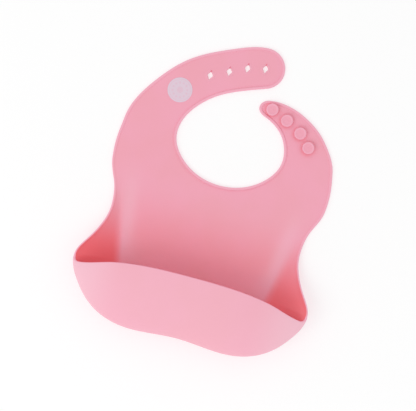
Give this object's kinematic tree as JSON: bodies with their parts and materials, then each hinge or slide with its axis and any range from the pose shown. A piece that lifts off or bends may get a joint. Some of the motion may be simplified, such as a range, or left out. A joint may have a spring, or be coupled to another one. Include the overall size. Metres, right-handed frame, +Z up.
{
  "type": "silicone bib",
  "caption": "Soft baby bib with a catch-all pocket and two neck straps that close with studs in holes.",
  "frame": {"origin": "middle of the bib's outline, on the table under its back", "axes": "+Z up off the table out of the bib's front, +Y from the pocket towards the neck, +X to the right seen from the front"},
  "size_m": [0.2326, 0.2985, 0.047],
  "materials": {
    "silicone": "matte pink silicone with a soft sheen",
    "badge_print": "pale matte print"
  },
  "bodies": {
    "bib": {"chest_panel": "silicone", "pocket_bottom_wall": "silicone", "pocket_gusset_left": "silicone", "pocket_gusset_right": "silicone"},
    "pocket_front": {"pocket_front_wall": "silicone"},
    "hole_strap": {"hole_strap_root": "silicone", "badge_disc": "badge_print"},
    "hole_tab": {"hole_strap_tab": "silicone"},
    "stud_strap": {"stud_strap_root": "silicone", "stud_3": "silicone", "stud_4": "silicone"},
    "stud_tip": {"stud_strap_tip": "silicone", "stud_1": "silicone", "stud_2": "silicone"}
  },
  "joints": [
    {"name": "hole_strap_fold", "type": "hinge", "parent": "bib", "child": "hole_strap", "pos_m": [-0.0783, 0.0485, 0.0022], "axis": [1, 0, 0], "range_deg": [0, 85], "stiffness_Nm_per_rad": 0.002},
    {"name": "hole_tab_fold", "type": "hinge", "parent": "hole_strap", "child": "hole_tab", "pos_m": [-0.04795, 0.0992, 0.0022], "axis": [0.528, -0.8493, 0], "range_deg": [0, 90], "stiffness_Nm_per_rad": 0.002},
    {"name": "stud_strap_fold", "type": "hinge", "parent": "bib", "child": "stud_strap", "pos_m": [0.0794, 0.0485, 0.0022], "axis": [1, 0, 0], "range_deg": [0, 85], "stiffness_Nm_per_rad": 0.002},
    {"name": "stud_tip_fold", "type": "hinge", "parent": "stud_strap", "child": "stud_tip", "pos_m": [0.0563, 0.0809, 0.0022], "axis": [0.4834, 0.8754, 0], "range_deg": [0, 60], "stiffness_Nm_per_rad": 0.001},
    {"name": "pocket_press", "type": "hinge", "parent": "bib", "child": "pocket_front", "pos_m": [0, -0.1444, 0.02], "axis": [-1, 0, 0], "range_deg": [0, 22], "stiffness_Nm_per_rad": 0.08, "springref_deg": -11.46, "deforming": ["pocket_gusset_left", "pocket_gusset_right"]}
  ]
}
